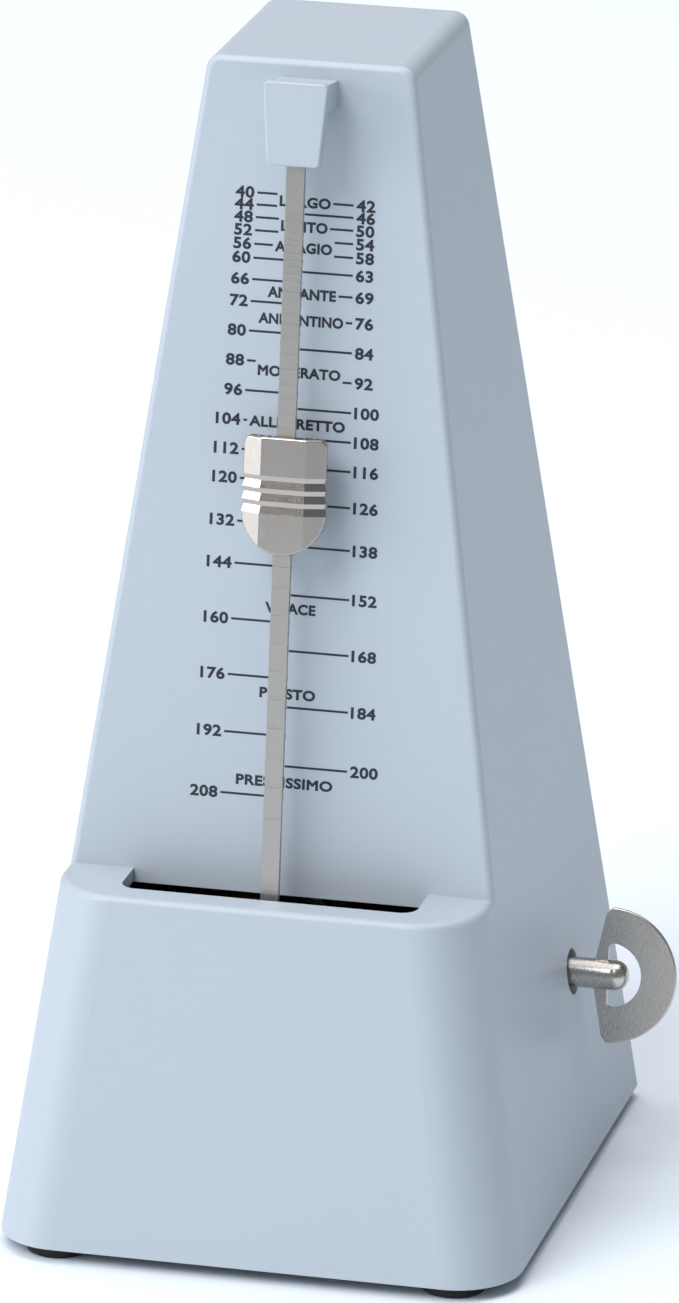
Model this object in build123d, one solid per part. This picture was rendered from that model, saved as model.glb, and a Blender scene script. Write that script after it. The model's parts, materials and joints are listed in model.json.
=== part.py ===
"""Wind-up pyramid metronome: moulded case, spring movement, pendulum, sliding weight and key.

Frame: +X towards the winding key, -Y towards the scale, +Z up, feet on z = 0.
The origin is under the middle of the whole object, key included.
"""
import os
from math import acos, atan2, cos, hypot, pi, radians, sin, sqrt, tan

from build123d import *

# ---- Case -------------------------------------------------------------------------------
case_height = 216.0        # floor to the flat top
foot_height = 2.5
base_width = 97.5          # across the bottom edge of the case
top_width = 37.92
base_depth = 109.7         # front to back at the bottom edge
front_lean = 8.22          # degrees the lower front leans back
rear_lean = 5.64           # degrees the rear wall leans forward
scale_lean = 7.83          # degrees the scale face leans back
ledge_height = 68.17
ledge_depth = 15.87        # front edge of the ledge to the scale face
wall = 2.5
front_corner_radius = 12.3
rear_corner_radius = 3.0
top_edge_radius = 2.9
face_edge_radius = 1.3
slot_width = 55.0
slot_depth = 10.4          # from the scale face forward
slot_corner_radius = 3.0
key_hole_gap = 1.45        # between the key's stem and the hole in the case
boss_sink = 0.6            # how far the screw bosses sink into the walls
boss_radius = 3.6
boss_height = 18.0
boss_setback = 29.0        # screw bosses, in front of and behind the middle
screw_radius = 1.4
screw_head_radius = 2.7
screw_head_height = 1.3
screw_grip = 9.0           # length of screw beyond the plate it holds
screw_gap = 0.05           # screw shank to its hole, for each radius
frame_screw_grip = 4.0

# ---- Base plate and feet ----------------------------------------------------------------
base_plate_thickness = 2.5
plate_clearance = 0.3
foot_radius = 6.0
foot_inset_x = 11.75       # foot centre in from the bottom edge of the case
foot_inset_y = 7.85
foot_peg_radius = 2.4
foot_edge_radius = 0.6
peg_clearance = 0.05

# ---- Winding axis and gear train --------------------------------------------------------
key_axis_height = 37.9
key_setback = 46.59        # key axis behind the foot of the scale face
pressure_angle = 20.0
addendum = 0.7             # tooth height above the pitch circle, in modules
dedendum = 1.0
backlash = 0.12
drive_module = 0.65
great_teeth = 72
drive_leaves = 12
escape_module = 0.5
intermediate_teeth = 60
escape_leaves = 12
escape_setback = 26.0      # escape wheel behind the pendulum rod, along the pendulum arbor
crown_radius = 10.2
crown_wall = 1.2
crown_teeth = 15
crown_tooth_height = 2.6
crown_spoke_window = 2.1   # radius of the round windows in the crown wheel
crown_arbor_gap = 3.0      # crown teeth to the pendulum arbor
pallet_gap = 0.5           # least gap between pallets and crown teeth
pallet_turn = 35.0         # degrees each pallet stands off level
pallet_collar_radius = 2.2
pallet_collar_length = 3.0
pallet_width = 2.4
pallet_thickness = 1.0
thick_arbor_radius = 1.6   # intermediate arbor between its pivots
escape_arbor_radius = 1.4
intermediate_thickness = 1.2
intermediate_window = 4.2  # radius of the round windows in the intermediate wheel
shoulder_gap = 0.3         # end play of an arbor between its plates
cock_x1 = -12.2            # right face of the escape cock
cock_thickness = 1.4
cock_margin = 2.6          # cock's metal around its post and pivot holes
cock_post_radius = 1.8
cock_post_pin = 1.0

# ---- Movement frame ---------------------------------------------------------------------
frame_half_gap = 22.0      # inner faces of the two side plates from the middle
frame_plate = 1.6
frame_top_margin = 2.6     # frame top below the underside of the ledge
frame_rear_margin = 26.5   # frame plates run this far behind the key axis
pillar_radius = 2.6
flange_width = 9.0
flange_screw_inset = 10.0
pillar_inset = 4.0         # pillar centres in from the frame's rear edge
pillar_rise = 7.0          # lower pillars above the base plate
pillar_drop = 5.0          # upper pillar below the frame's top
running_gap = 0.05         # radial clearance of every shaft in its hole
arbor_radius = 2.4
pivot_radius = 0.9
barrel_radius = 20.0
barrel_end_gap = 2.0       # barrel cover to the right frame plate
barrel_wall = 1.2
barrel_start = 6.0         # barrel's left face from the middle
wheel_thickness = 1.8
spring_turns = 7
spring_strip = 0.6
core_radius = 4.6
ratchet_teeth = 16
ratchet_radius = 7.5
ratchet_depth = 1.1
ratchet_thickness = 1.8
ratchet_plate_gap = 0.6
click_gap = 0.15           # click's nose, held clear of the ratchet's tooth tips
click_pin_radius = 1.0
click_boss_radius = 2.2
click_offset = 9.0         # click's pivot behind and below the winding axis
click_tail = 4.8
click_head_radius = 2.4
click_wire_radius = 0.3

# ---- Key --------------------------------------------------------------------------------
key_reach = 14.75          # key's outer edge beyond the bottom edge of the case
stem_wall = 0.4            # stem around the winding arbor in its socket
stem_start = 30.0
stem_tip_inset = 9.1       # domed stem end, in from the key's outer edge
stem_dome = 2.4
stem_socket = 10.5         # depth of the stem's socket for the winding arbor
socket_play = 0.5
crimp_spread = 1.1         # crimp marks above and below the stem's middle
blade_radius = 12.7
blade_thickness = 1.0
blade_bar = 2.6            # width of the blade's straight bar
blade_hole_radius = 6.05
blade_waist = 2.5          # how far the bar's ends step out from its middle
blade_tilt = 10.0          # degrees the blade stands turned from upright
blade_edge_radius = 0.25
blade_bar_waist = 2.0      # half height of the bar's narrow middle
blade_shoulder = 1.2

# ---- Pendulum ---------------------------------------------------------------------------
pivot_height = 58.5
rod_standoff = 7.4         # rod's middle plane in front of the scale face
rod_width = 3.3
rod_thickness = 1.1
rod_tip_drop = 9.5         # rod tip below the case top
pendulum_arbor_radius = 1.2
hub_radius = 4.0
hub_length = 3.0
bob_inner = 22.0
bob_outer = 47.0
bob_half_angle = 26.0
bob_thickness = 8.6
bridge_setback = 7.6       # front bearing bridge behind the rod's middle plane
bridge_thickness = 1.4
bridge_half_height = 5.0
bridge_overhang = 2.0      # bridge ends beyond the frame plates
tab_half_height = 2.5
bush_radius = 2.4
bush_flange = 0.8          # bush's flange beyond its barrel
rear_bearing_setback = 47.0
rear_cock_thickness = 2.0
rear_cock_half_height = 3.4
rear_cock_reach = 3.2
rivet_radius = 0.5
rivet_spacing = 2.6        # hub rivets above and below the pivot
bob_pin_radius = 0.8
bob_corner_radius = 1.5
rivet_gap = 0.02
notch_drop = 2.1           # rod notches below the scale marks they belong to
notch_depth = 0.2
notch_width = 0.7
tempos = (list(range(40, 60, 2)) + list(range(60, 72, 3)) + list(range(72, 120, 4))
          + list(range(120, 144, 6)) + list(range(144, 209, 8)))
balance_radius = 147.5     # weight's distance from the pivot at which the pendulum would stop
inertia_term = 10464.0     # square millimetres
rate_term = 3.98e6

# ---- Sliding weight ---------------------------------------------------------------------
weight_width = 15.6
weight_length = 21.2
weight_top_height = 151.1
weight_front = 2.0         # in front of the rod's middle plane
weight_back = 3.3
weight_bevel = 1.5         # how far the side facets fall back
weight_rim = 1.0           # thickness of the shield at its edge
weight_edge_radius = 0.3
weight_back_inset = 2.2    # the body behind the shield, in from its outline
weight_flat_share = 0.53
weight_corner = 1.2
groove_count = 3
groove_pitch = 2.3
groove_steep_share = 0.4   # share of a groove's width under its upper edge
groove_depth = 0.35
slide_gap = 0.08
slider_spring_strip = 0.3
slider_spring_width = 2.4
pocket_half_width = 4.0    # room for the friction spring behind the rod
pocket_foot = 4.0
pocket_top = 3.0
cover_thickness = 1.0
cover_gap = 0.05
weight_taper = 0.3         # weight's sides lean in towards its top
groove_rise = 0.2          # grooves' middle above the weight's middle

# ---- Catch ------------------------------------------------------------------------------
catch_top_drop = 1.5       # catch's top edge below the case top
catch_length = 15.0
catch_top_width = 12.0
catch_foot_width = 9.6
catch_thickness = 1.8
catch_rod_gap = 0.5
catch_block_length = 5.6
catch_block_inset = 0.8    # catch's block in from its plate's sides
catch_corner_radius = 1.0
catch_edge_radius = 0.4
catch_peg_radius = 2.0

# ---- Derived places ---------------------------------------------------------------------
stem_radius = arbor_radius + stem_wall
key_hole_radius = stem_radius + key_hole_gap
side_slope = (base_width - top_width) / 2 / (case_height - foot_height)
lean = radians(scale_lean)
scale_foot_y = -base_depth / 2 + (ledge_height - foot_height) * tan(radians(front_lean)) + ledge_depth


def half_width(z):
    """Half the case's outside width at height z."""
    return base_width / 2 - (z - foot_height) * side_slope


def front_y(z):
    return -base_depth / 2 + (z - foot_height) * tan(radians(front_lean))


def rear_y(z):
    return base_depth / 2 - (z - foot_height) * tan(radians(rear_lean))


def scale_y(z):
    return scale_foot_y + (z - ledge_height) * tan(lean)


pivot_y = scale_y(pivot_height) - rod_standoff / cos(lean)
swing = Plane(origin=(0, pivot_y, pivot_height), x_dir=(1, 0, 0), z_dir=(0, -cos(lean), sin(lean)))
key_y = scale_foot_y + key_setback
key_tip_x = base_width / 2 + key_reach
stem_tip_x = key_tip_x - stem_tip_inset
blade_middle_x = key_tip_x - blade_radius
escape_y = pivot_y + escape_setback * cos(lean)
escape_z = pivot_height - escape_setback * sin(lean)
great_radius = great_teeth * drive_module / 2
drive_distance = (great_teeth + drive_leaves) * drive_module / 2
escape_distance = (intermediate_teeth + escape_leaves) * escape_module / 2
frame_outer = frame_half_gap + frame_plate
barrel_width = frame_half_gap - barrel_end_gap - barrel_start
base_top = foot_height + base_plate_thickness
frame_top = ledge_height - wall - frame_top_margin
frame_rear = key_y + frame_rear_margin
frame_front_offset = bridge_setback + bridge_thickness
frame_foot_front = pivot_y + (frame_front_offset + (base_top - pivot_height) * sin(lean)) / cos(lean)
frame_top_front = pivot_y + (frame_front_offset + (frame_top - pivot_height) * sin(lean)) / cos(lean)
crown_x0 = cock_x1 + 0.4
crown_tip_x = -pendulum_arbor_radius - crown_arbor_gap
great_x0 = barrel_start - wheel_thickness
ratchet_x0 = frame_outer + ratchet_plate_gap
ratchet_x1 = ratchet_x0 + ratchet_thickness
blade_back_x = blade_middle_x - blade_waist - 0.4
blade_window_x = blade_back_x + blade_bar


def intermediate_place():
    """Where the intermediate arbor meshes with both neighbours, below the line between them."""
    dy, dz = escape_y - key_y, escape_z - key_axis_height
    span = hypot(dy, dz)
    turn = acos((drive_distance**2 + span**2 - escape_distance**2) / (2 * drive_distance * span))
    angle = atan2(dz, dy) + turn
    return key_y + drive_distance * cos(angle), key_axis_height + drive_distance * sin(angle)


middle_y, middle_z = intermediate_place()


def up_face(height):
    """Distance up the swing plane from the pivot to a height above the floor."""
    return (height - pivot_height) / cos(lean)


def tempo_height(beats):
    """Height of a scale mark: the weight's place at which the pendulum beats at this rate."""
    square = beats**2
    root = sqrt(rate_term**2 - 4 * square * (square * inertia_term - rate_term * balance_radius))
    return pivot_height + cos(lean) * (root - rate_term) / (2 * square)


# ---- Helpers ----------------------------------------------------------------------------
def rod_x(y, z, radius, x0, x1):
    """Round bar along X between two stations."""
    return extrude(Plane.YZ.offset(x0) * Pos(y, z) * Circle(radius), amount=x1 - x0)


def plate_x(outline, x0, x1):
    """Flat plate across X with an outline in (y, z)."""
    return extrude(Plane.YZ.offset(x0) * outline, amount=x1 - x0)


def rod_z(x, y, radius, z0, z1):
    return Pos(x, y, z0) * Cylinder(radius, z1 - z0, align=(Align.CENTER, Align.CENTER, Align.MIN))


def block(x0, x1, y0, y1, z0, z1):
    return Pos((x0 + x1) / 2, (y0 + y1) / 2, (z0 + z1) / 2) * Box(x1 - x0, y1 - y0, z1 - z0)


def outline(points):
    return make_face(Polyline(points, close=True))


def pan_screw(radius, head_radius, head_height, length):
    """Screw standing head down: head from 0 to -head_height, shank up to length."""
    head = fillet(rod_z(0, 0, head_radius, -head_height, 0).edges().group_by(Axis.Z)[0], head_height / 2)
    drive = rod_z(0, 0, head_radius * 0.4, -head_height, -head_height / 2)
    return head + rod_z(0, 0, radius, 0, length) - drive


def involute(angle):
    return tan(angle) - angle


def tooth_outline(teeth, module, samples=4):
    """One involute tooth as (radius, angle) pairs, up one flank and down the other."""
    pitch = teeth * module / 2
    base = pitch * cos(radians(pressure_angle))
    half = pi / 2 / teeth - backlash / 4 / pitch + involute(radians(pressure_angle))
    tip = pitch + addendum * module
    root = pitch - dedendum * module
    low = max(base, root)
    flank = []
    for step in range(samples):
        radius = low + (tip - low) * step / (samples - 1)
        flank.append((radius, half - involute(acos(base / radius))))
    if root < base:
        flank.insert(0, (root, half))
    return [(r, -a) for r, a in flank] + [(r, a) for r, a in reversed(flank)]


def gear(teeth, module, start, y, z, bore, x0, x1):
    """Spur gear across X with a tooth centred at the angle start (radians from +Y towards +Z)."""
    tooth = tooth_outline(teeth, module)
    points = []
    for index in range(teeth):
        middle = start + 2 * pi * index / teeth
        points += [(y + r * cos(middle + a), z + r * sin(middle + a)) for r, a in tooth]
    return plate_x(outline(points), x0, x1) - rod_x(y, z, bore, x0 - 1, x1 + 1)


# ---- Case -------------------------------------------------------------------------------
def rectangle_at(z, inset_side, inset_front, inset_rear):
    width = half_width(z) - inset_side
    front, rear = front_y(z) + inset_front, rear_y(z) - inset_rear
    return Plane.XY.offset(z) * outline([(-width, front), (width, front), (width, rear), (-width, rear)])


def case_block(inset, low, high):
    """The pyramid and its notch over the ledge, with every wall moved in by inset."""
    side = inset / cos(atan2(side_slope, 1))
    front = inset / cos(radians(front_lean))
    rear = inset / cos(radians(rear_lean))
    start = low - 2 * front_corner_radius       # the rounding runs on below the foot, then is cut level
    body = loft([rectangle_at(start, side, front, rear), rectangle_at(high, side, front, rear)], ruled=True)
    upright = [edge for edge in body.edges() if edge.length > (high - low) / 2]
    front_edges = [edge for edge in upright if edge.center().Y < 0]
    body = fillet(front_edges, max(front_corner_radius - inset, wall))
    body -= block(-base_width, base_width, -base_depth, base_depth, start - 1, low)
    foot = ledge_height - inset
    shift = inset / cos(lean)
    top = case_height + 10
    notch = outline([(scale_y(foot) + shift, foot), (scale_y(top) + shift, top),
                     (front_y(foot) - 50, top), (front_y(foot) - 50, foot)])
    return body - plate_x(notch, -base_width, base_width)


def long_edges(body, length):
    return [edge for edge in body.edges() if edge.length > length]


def rounded_case():
    """Outside of the case with its edges softened as moulded."""
    body = case_block(0, foot_height, case_height)
    rim = [edge for edge in body.edges()
           if abs(edge.center().Z - ledge_height) < 0.01 and edge.center().Y < scale_foot_y - 1]
    body = fillet(rim, face_edge_radius)
    rear_edges = [edge for edge in long_edges(body, (case_height - foot_height) / 2)
                  if edge.center().Y > 0 and abs(edge.center().X) > top_width / 3]
    body = fillet(rear_edges, rear_corner_radius)
    top_edges = body.edges().group_by(Axis.Z)[-1]
    front_edge = top_edges.group_by(Axis.Y)[0]
    body = fillet([edge for edge in top_edges if edge not in front_edge], top_edge_radius)
    face_edges = [edge for edge in long_edges(body, (case_height - ledge_height) / 2)
                  if abs(edge.center().Y - scale_y(edge.center().Z)) < 0.01 and abs(edge.center().X) > 5]
    return fillet(face_edges + list(body.edges().group_by(Axis.Z)[-1].group_by(Axis.Y)[0]), face_edge_radius)


def pendulum_slot():
    """Opening in the ledge, from the scale face forward, with round front corners."""
    front = scale_foot_y - slot_depth
    deep = ledge_height - 3 * wall
    low, high = scale_y(deep), ledge_height + wall
    prism = plate_x(outline([(front, deep), (low, deep), (scale_y(high), high), (front, high)]),
                    -slot_width / 2, slot_width / 2)
    corners = [edge for edge in prism.edges().filter_by(Axis.Z) if edge.center().Y < front + 0.1]
    return fillet(corners, slot_corner_radius)


def boss_places():
    inset = wall + boss_radius - boss_sink
    return [(side * (half_width(base_top + boss_height) - inset), end * boss_setback)
            for side in (-1, 1) for end in (-1, 1)]


def case_shell():
    body = rounded_case() - case_block(wall, foot_height - 1, case_height - wall)
    for x, y in boss_places():
        body += rod_z(x, y, boss_radius, base_top, base_top + boss_height)
    outside = case_block(0, foot_height, case_height)
    body = body & outside
    for x, y in boss_places():
        body -= rod_z(x, y, screw_radius, base_top - 1, base_top + screw_grip + 1)
    body -= pendulum_slot()
    body -= rod_x(key_y, key_axis_height, key_hole_radius, frame_outer, base_width)
    return body - catch_peg(running_gap)


# ---- Catch at the top of the scale ------------------------------------------------------
catch_top = up_face(case_height - catch_top_drop)
catch_back = rod_thickness / 2 + catch_rod_gap


def catch_peg(gap):
    """Peg of the catch, through the scale wall, along the swing plane's normal."""
    middle = catch_top - catch_block_length / 2
    peg = rod_z(0, middle, catch_peg_radius + gap, -rod_standoff - wall - 1.5, -rod_standoff + 1)
    return swing.location * peg


def pendulum_catch():
    foot = catch_top - catch_length
    half_top, half_foot = catch_top_width / 2, catch_foot_width / 2
    plate = outline([(-half_top, catch_top), (-half_foot, foot), (half_foot, foot), (half_top, catch_top)])
    plate = extrude(Plane.XY.offset(catch_back) * fillet(plate.vertices(), catch_corner_radius),
                    amount=catch_thickness)
    plate = fillet(plate.edges().group_by(Axis.Z)[-1], catch_edge_radius)
    block_half = half_top - catch_block_inset
    block_body = block(-block_half, block_half, catch_top - catch_block_length, catch_top - 0.5,
                       -rod_standoff, catch_back + 0.2)
    return swing.location * (plate + block_body) + catch_peg(0)


# ---- Base plate and feet ----------------------------------------------------------------
def foot_places():
    x = base_width / 2 - foot_inset_x
    y = base_depth / 2 - foot_inset_y
    return {"foot_front_left": (-x, -y), "foot_front_right": (x, -y),
            "foot_rear_left": (-x, y), "foot_rear_right": (x, y)}


def flange_screw_places():
    x = frame_outer + flange_width / 2
    ends = (frame_foot_front + flange_screw_inset, frame_rear - flange_screw_inset)
    return [(side * x, y) for side in (-1, 1) for y in ends]


def base_plate():
    body = case_block(wall + plate_clearance, foot_height, case_height - wall - 1)
    body = body & block(-base_width, base_width, -base_depth, base_depth, foot_height, base_top)
    for x, y in foot_places().values():
        body -= rod_z(x, y, foot_peg_radius + peg_clearance, 0, base_top + 1)
    for x, y in boss_places() + flange_screw_places():
        body -= rod_z(x, y, screw_radius + 2 * screw_gap, 0, base_top + 1)
    return body


def foot(x, y):
    pad = rod_z(x, y, foot_radius, 0, foot_height)
    pad = fillet(pad.edges().group_by(Axis.Z)[0], foot_edge_radius)
    return pad + rod_z(x, y, foot_peg_radius, foot_height, base_top)


def base_screws():
    screw = pan_screw(screw_radius - screw_gap, screw_head_radius, screw_head_height,
                      base_plate_thickness + screw_grip)
    return [Pos(x, y, foot_height) * screw for x, y in boss_places()]


# ---- Movement frame ---------------------------------------------------------------------
def pillar_places():
    rear, low = frame_rear - pillar_inset, base_top + pillar_rise
    return [(rear, low), (rear, frame_top - pillar_drop), (frame_foot_front + pillar_inset + 1, low)]


def side_plate(side):
    """Frame plate with its foot flange, bearing holes and the tab that holds the front bridge."""
    low, high = sorted((side * frame_half_gap, side * frame_outer))
    plate = plate_x(outline([(frame_foot_front, base_top), (frame_rear, base_top), (frame_rear, frame_top),
                             (frame_top_front, frame_top)]), low, high)
    flange_low, flange_high = sorted((side * frame_half_gap, side * (frame_outer + flange_width)))
    plate += block(flange_low, flange_high, frame_foot_front, frame_rear, base_top, base_top + frame_plate)
    plate += bridge_tab(side, 0)
    for x, y in flange_screw_places():
        plate -= rod_z(x, y, screw_radius - screw_gap, base_top - 1, base_top + frame_plate + 1)
    for y, z in pillar_places():
        plate -= rod_x(y, z, screw_radius, low - 1, high + 1)
    plate -= rod_x(key_y, key_axis_height, arbor_radius + running_gap, low - 1, high + 1)
    plate -= rod_x(middle_y, middle_z, pivot_radius + running_gap, low - 1, high + 1)
    return plate


def left_plate():
    plate = side_plate(-1)
    plate -= rod_x(escape_y, escape_z, pivot_radius + running_gap, -frame_outer - 1, -frame_half_gap + 1)
    for y, z in cock_post_places():
        plate -= rod_x(y, z, cock_post_pin, -frame_outer - 1, -frame_half_gap + 1)
    return plate - rear_cock_bar(running_gap)


def right_plate():
    plate = side_plate(1)
    y, z = click_place()
    plate -= rod_x(y, z, click_pin_radius, frame_half_gap - 1, frame_outer + 1)
    y, z = click_spring_place()
    return plate - rod_x(y, z, click_pin_radius, frame_half_gap - 1, frame_outer + 1)


def bridge_tab(side, gap):
    """Tab on a frame plate's front edge, standing through the bridge."""
    x = side * (frame_half_gap + frame_plate / 2)
    half = frame_plate / 2 + gap
    rise = tab_half_height + gap
    tab = block(x - half, x + half, -rise, rise, -frame_front_offset - 1, -bridge_setback + 0.5)
    return swing.location * tab


def pendulum_bridge():
    half = frame_outer + bridge_overhang
    body = swing.location * block(-half, half, -bridge_half_height, bridge_half_height,
                                  -frame_front_offset, -bridge_setback)
    body -= swing.location * rod_z(0, 0, bush_radius, -frame_front_offset - 1, -bridge_setback + 1)
    return body - bridge_tab(-1, running_gap) - bridge_tab(1, running_gap)


def bush(middle, thickness):
    """Flanged brass bush for the pendulum arbor, around a wall from middle to middle + thickness."""
    body = rod_z(0, 0, bush_radius, middle, middle + thickness + 0.4)
    body += rod_z(0, 0, bush_radius + bush_flange, middle - 0.6, middle)
    body -= rod_z(0, 0, pendulum_arbor_radius + running_gap, middle - 2, middle + thickness + 2)
    return swing.location * body


def front_bush():
    return bush(-frame_front_offset, bridge_thickness)


def rear_bush():
    return bush(-rear_bearing_setback - rear_cock_thickness, rear_cock_thickness)


def rear_cock_bar(gap):
    half = rear_cock_half_height + gap
    bar = block(-frame_outer - 0.5, rear_cock_reach, -half, half,
                -rear_bearing_setback - rear_cock_thickness - gap, -rear_bearing_setback + gap)
    return swing.location * bar


def rear_cock():
    back = -rear_bearing_setback - rear_cock_thickness
    hole = rod_z(0, 0, bush_radius, back - 1, -rear_bearing_setback + 1)
    return rear_cock_bar(0) - swing.location * hole


def frame_pillars():
    pillars = []
    for y, z in pillar_places():
        bar = rod_x(y, z, pillar_radius, -frame_half_gap, frame_half_gap)
        deep = frame_screw_grip + 1
        bar -= rod_x(y, z, screw_radius, -frame_half_gap - 1, -frame_half_gap + deep)
        pillars.append(bar - rod_x(y, z, screw_radius, frame_half_gap - deep, frame_half_gap + 1))
    return pillars


def pillar_screws():
    screw = pan_screw(screw_radius - screw_gap, screw_head_radius, screw_head_height,
                      frame_plate + frame_screw_grip)
    screws = []
    for y, z in pillar_places():
        screws.append(Pos(-frame_outer, y, z) * Rot(0, 90, 0) * screw)
        screws.append(Pos(frame_outer, y, z) * Rot(0, -90, 0) * screw)
    return screws


def flange_screws():
    screw = pan_screw(screw_radius - 2 * screw_gap, screw_head_radius, screw_head_height,
                      base_plate_thickness + frame_plate + 0.6)
    return [Pos(x, y, foot_height) * screw for x, y in flange_screw_places()]


# ---- Escapement -------------------------------------------------------------------------
def cock_post_places():
    return [(escape_y - 8, escape_z + 4.5), (escape_y + 9, escape_z + 3.5)]


def escape_cock():
    (y0, z0), (y1, z1) = cock_post_places()
    rim = cock_margin
    high, ends, low = max(z0, z1) + rim, min(z0, z1) - rim, escape_z - rim
    body = plate_x(outline([(y0 - rim, high), (y1 + rim, high), (y1 + rim, ends), (escape_y + rim, low),
                            (escape_y - rim, low), (y0 - rim, ends)]), cock_x1 - cock_thickness, cock_x1)
    body -= rod_x(escape_y, escape_z, pivot_radius + running_gap, cock_x1 - cock_thickness - 1, cock_x1 + 1)
    for y, z in cock_post_places():
        body -= rod_x(y, z, cock_post_pin, cock_x1 - cock_thickness - 1, cock_x1 + 1)
    return body


def cock_posts():
    posts = []
    for y, z in cock_post_places():
        post = rod_x(y, z, cock_post_radius, -frame_half_gap, cock_x1 - cock_thickness)
        posts.append(post + rod_x(y, z, cock_post_pin - rivet_gap, -frame_outer, cock_x1))
    return posts


def escape_arbor():
    body = rod_x(escape_y, escape_z, pivot_radius, -frame_outer, crown_x0 + crown_wall)
    return body + rod_x(escape_y, escape_z, escape_arbor_radius, -frame_half_gap + shoulder_gap,
                        cock_x1 - cock_thickness - shoulder_gap)


def crown_tooth_gap(index):
    """Sloped gap between two crown teeth, cut outwards through the ring."""
    pitch = 2 * pi * crown_radius / crown_teeth
    root = crown_tip_x - crown_tooth_height
    face = outline([(root, -pitch * 0.42), (crown_tip_x + 1, -pitch * 0.42), (crown_tip_x + 1, pitch * 0.46),
                    (crown_tip_x, pitch * 0.38)])
    cut = extrude(Plane.XY.offset(crown_radius - 2 * crown_wall) * face, amount=4 * crown_wall)
    return Pos(0, escape_y, escape_z) * Rot(360 * index / crown_teeth, 0, 0) * cut


def escape_wheel():
    """Crown wheel: a spoked disc with a ring of saw teeth facing the pendulum arbor."""
    body = rod_x(escape_y, escape_z, crown_radius, crown_x0, crown_tip_x)
    body -= rod_x(escape_y, escape_z, crown_radius - crown_wall, crown_x0 + crown_wall, crown_tip_x + 1)
    for index in range(4):
        window = Pos(0, (crown_radius - crown_wall) * 0.6, 0) * Cylinder(crown_spoke_window, 3 * crown_wall)
        body -= Pos(crown_x0, escape_y, escape_z) * Rot(45 + 90 * index, 0, 0) * Rot(0, 90, 0) * window
    for index in range(crown_teeth):
        body -= crown_tooth_gap(index)
    body += rod_x(escape_y, escape_z, escape_arbor_radius + 0.8, crown_x0, crown_x0 + 2 * crown_wall)
    return body - rod_x(escape_y, escape_z, pivot_radius, crown_x0 - 1, crown_tip_x)


def escape_pinion():
    towards = atan2(middle_z - escape_z, middle_y - escape_y)
    return gear(escape_leaves, escape_module, towards + pi / escape_leaves, escape_y, escape_z,
                escape_arbor_radius, -frame_half_gap + 1, cock_x1 - cock_thickness - 1)


def pallet(setback, turn):
    """Steel flag on the pendulum arbor, beside the rim of the crown wheel."""
    reach = -crown_tip_x - pallet_gap
    half, wide, thick = pallet_collar_length / 2, pallet_width / 2, pallet_thickness / 2
    collar = rod_z(0, 0, pallet_collar_radius, -setback - half, -setback + half)
    flag = block(-reach, 0, -thick, thick, -setback - wide, -setback + wide)
    body = collar + Rot(0, 0, turn) * flag
    return swing.location * (body - rod_z(0, 0, pendulum_arbor_radius, -setback - 3, -setback + 3))


# ---- Intermediate wheel -----------------------------------------------------------------
def intermediate_arbor():
    body = rod_x(middle_y, middle_z, pivot_radius, -frame_outer, frame_outer)
    end = frame_half_gap - shoulder_gap
    return body + rod_x(middle_y, middle_z, thick_arbor_radius, -end, end)


def intermediate_pinion():
    towards = atan2(key_axis_height - middle_z, key_y - middle_y)
    return gear(drive_leaves, drive_module, towards + pi / drive_leaves, middle_y, middle_z,
                thick_arbor_radius, great_x0 - 0.6, barrel_start + 0.4)


def intermediate_wheel():
    towards = atan2(escape_z - middle_z, escape_y - middle_y)
    x0 = -frame_half_gap + 3
    body = gear(intermediate_teeth, escape_module, towards, middle_y, middle_z, thick_arbor_radius,
                x0, x0 + intermediate_thickness)
    return spokes(body, middle_y, middle_z, escape_module * intermediate_teeth / 2 * 0.56,
                  intermediate_window, x0)


def spokes(body, y, z, ring, radius, x0):
    """Five round windows that leave spokes in a wheel."""
    for index in range(5):
        angle = 2 * pi * index / 5
        body -= rod_x(y + ring * cos(angle), z + ring * sin(angle), radius, x0 - 3, x0 + 4)
    return body


# ---- Spring barrel ----------------------------------------------------------------------
def great_wheel():
    towards = atan2(middle_z - key_axis_height, middle_y - key_y)
    return gear(great_teeth, drive_module, towards, key_y, key_axis_height,
                arbor_radius + running_gap, great_x0, barrel_start)


def barrel_drum():
    body = rod_x(key_y, key_axis_height, barrel_radius, barrel_start, barrel_start + barrel_width)
    body -= rod_x(key_y, key_axis_height, barrel_radius - barrel_wall, barrel_start + barrel_wall,
                  barrel_start + barrel_width + 1)
    return body - rod_x(key_y, key_axis_height, arbor_radius + running_gap, barrel_start - 1,
                        barrel_start + barrel_wall + 1)


def barrel_cover():
    end = barrel_start + barrel_width
    body = rod_x(key_y, key_axis_height, barrel_radius - barrel_wall, end - barrel_wall, end)
    return body - rod_x(key_y, key_axis_height, arbor_radius + running_gap, end - 3, end + 1)


def mainspring():
    """Flat strip wound in a spiral, outer end against the drum."""
    inner, outer = core_radius + 1.4, barrel_radius - barrel_wall - 0.15
    start, end = barrel_start + 2 * barrel_wall, barrel_start + barrel_width - 2 * barrel_wall
    steps = 12 * spring_turns

    def turn(index, strip):
        radius = inner + strip + (outer - spring_strip - inner) * index / steps
        angle = 2 * pi * index / 12
        return radius * cos(angle), radius * sin(angle)

    inside = Spline([turn(index, 0) for index in range(steps + 1)])
    outside = Spline([turn(index, spring_strip) for index in range(steps + 1)])
    strip = make_face([inside, outside, Line(inside @ 0, outside @ 0), Line(inside @ 1, outside @ 1)])
    return extrude(Plane.YZ.offset(start) * Pos(key_y, key_axis_height) * strip, amount=end - start)


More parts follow.
